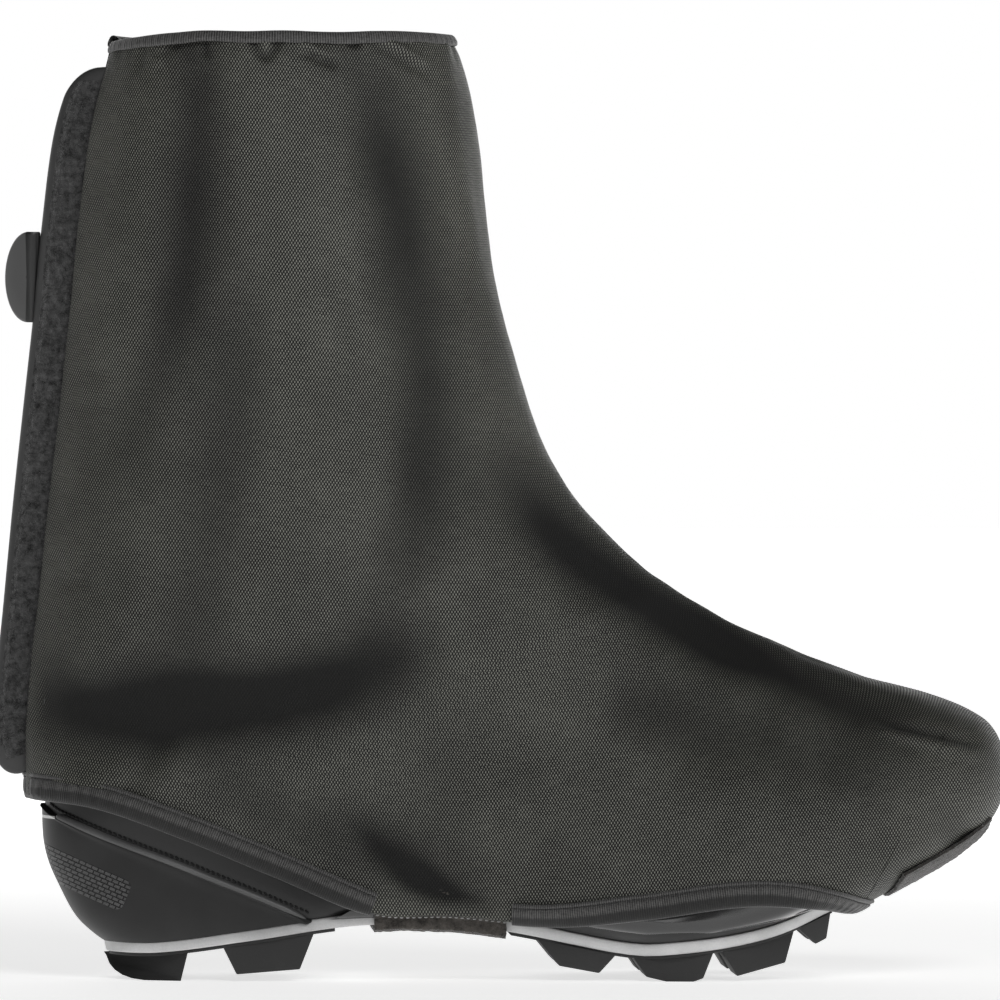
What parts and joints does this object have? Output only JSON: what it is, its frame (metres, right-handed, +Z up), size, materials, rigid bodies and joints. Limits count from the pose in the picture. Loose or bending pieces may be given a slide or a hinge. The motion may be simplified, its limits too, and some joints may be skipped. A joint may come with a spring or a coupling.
{
  "type": "winter cycling overshoe",
  "caption": "Tall fabric overshoe over a lugged cycling shoe, closed down the back by a padded flap with fuzzy tape, with a strap under the arch.",
  "frame": {"origin": "on the floor under the middle of the whole part's box", "axes": "+X towards the toe, -Y towards the outer side of the foot, +Z up"},
  "size_m": [0.3152, 0.1076, 0.2919],
  "materials": {
    "cover_fabric": "matt plain-weave nylon",
    "flap_fabric": "smooth padded fabric",
    "loop_pile": "fuzzy loop tape",
    "tab_rubber": "smooth satin",
    "elastic": "ribbed elastic",
    "strap_web": "brushed webbing",
    "guard_felt": "brushed patch",
    "shoe_synthetic": "satin synthetic",
    "counter_synthetic": "satin synthetic",
    "insole_foam": "matt foam",
    "plate_plastic": "satin light grey plastic",
    "sole_rubber": "matt rubber"
  },
  "bodies": {
    "root": {"overshoe_upper": "cover_fabric", "closure_flap": "flap_fabric", "loop_tape": "loop_pile", "pull_tab": "tab_rubber", "collar_binding": "elastic", "hem_binding_front": "elastic", "hem_binding_rear": "elastic", "underfoot_strap": "strap_web", "toe_guard": "guard_felt", "shoe_upper": "shoe_synthetic", "heel_counter": "counter_synthetic", "insole": "insole_foam", "midsole_plate": "plate_plastic", "outsole_heel": "sole_rubber", "outsole_front": "sole_rubber"}
  },
  "joints": []
}
